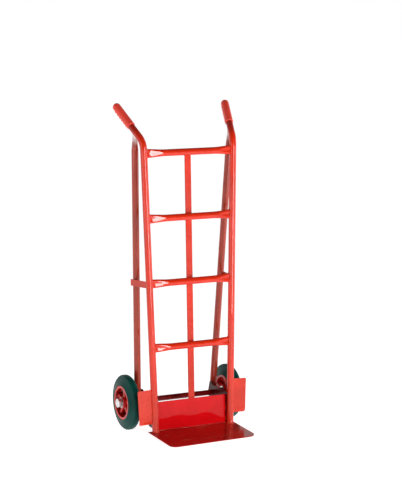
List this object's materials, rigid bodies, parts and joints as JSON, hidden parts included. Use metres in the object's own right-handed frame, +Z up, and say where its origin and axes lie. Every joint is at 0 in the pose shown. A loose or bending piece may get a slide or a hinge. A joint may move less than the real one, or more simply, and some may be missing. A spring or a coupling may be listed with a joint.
{
  "type": "hand truck",
  "caption": "Upright tubular hand truck with a ladder frame, bent-back handles, sloping rear struts, a toe plate and solid-tyred wheels on a fixed axle.",
  "frame": {"origin": "on the floor under the middle of the bounding box", "axes": "+X to the right of a person facing the load side, +Y to the back where the handles and wheels are, +Z up"},
  "size_m": [0.4888, 0.4035, 1.1796],
  "materials": {
    "side_tube_paint": "glossy red enamel on steel tube",
    "cross_tube_paint": "glossy red enamel on steel tube",
    "strap_paint": "glossy red enamel on flat steel bar",
    "back_plate_paint": "glossy red enamel on steel sheet",
    "toe_plate_paint": "glossy darker red enamel on steel plate",
    "strut_paint": "glossy red enamel on steel tube",
    "bracket_paint": "glossy red enamel on steel plate",
    "guard_paint": "glossy red enamel on steel sheet",
    "grip_plastic": "shiny red moulded grip",
    "axle_paint": "red enamel on round bar",
    "washer_zinc": "zinc plated",
    "nut_zinc": "bright zinc plated",
    "tyre_rubber": "solid dark green rubber, satin",
    "wheel_centre_paint": "red enamel on a cast centre",
    "bush_bronze": "plain bearing bronze"
  },
  "bodies": {
    "frame": {"left_side_tube": "side_tube_paint", "right_side_tube": "side_tube_paint", "cross_tube_1": "cross_tube_paint", "cross_tube_2": "cross_tube_paint", "cross_tube_3": "cross_tube_paint", "cross_tube_4": "cross_tube_paint", "centre_strap": "strap_paint", "back_plate": "back_plate_paint", "toe_plate": "toe_plate_paint", "left_rear_strut": "strut_paint", "right_rear_strut": "strut_paint", "left_brace": "side_tube_paint", "right_brace": "side_tube_paint", "left_axle_bracket": "bracket_paint", "right_axle_bracket": "bracket_paint", "left_wheel_guard": "guard_paint", "right_wheel_guard": "guard_paint", "left_grip": "grip_plastic", "right_grip": "grip_plastic", "axle": "axle_paint", "left_spacer": "axle_paint", "right_spacer": "axle_paint", "left_washers": "washer_zinc", "right_washers": "washer_zinc", "left_axle_nut": "nut_zinc", "right_axle_nut": "nut_zinc"},
    "left_wheel": {"left_tyre": "tyre_rubber", "left_rim": "wheel_centre_paint", "left_wheel_centre": "wheel_centre_paint", "left_bush": "bush_bronze"},
    "right_wheel": {"right_tyre": "tyre_rubber", "right_rim": "wheel_centre_paint", "right_wheel_centre": "wheel_centre_paint", "right_bush": "bush_bronze"}
  },
  "joints": [
    {"name": "left_wheel_spin", "type": "hinge", "parent": "frame", "child": "left_wheel", "pos_m": [-0.206, 0.1017, 0.1], "axis": [1, 0, 0], "continuous": true},
    {"name": "right_wheel_spin", "type": "hinge", "parent": "frame", "child": "right_wheel", "pos_m": [0.206, 0.1017, 0.1], "axis": [1, 0, 0], "continuous": true}
  ]
}
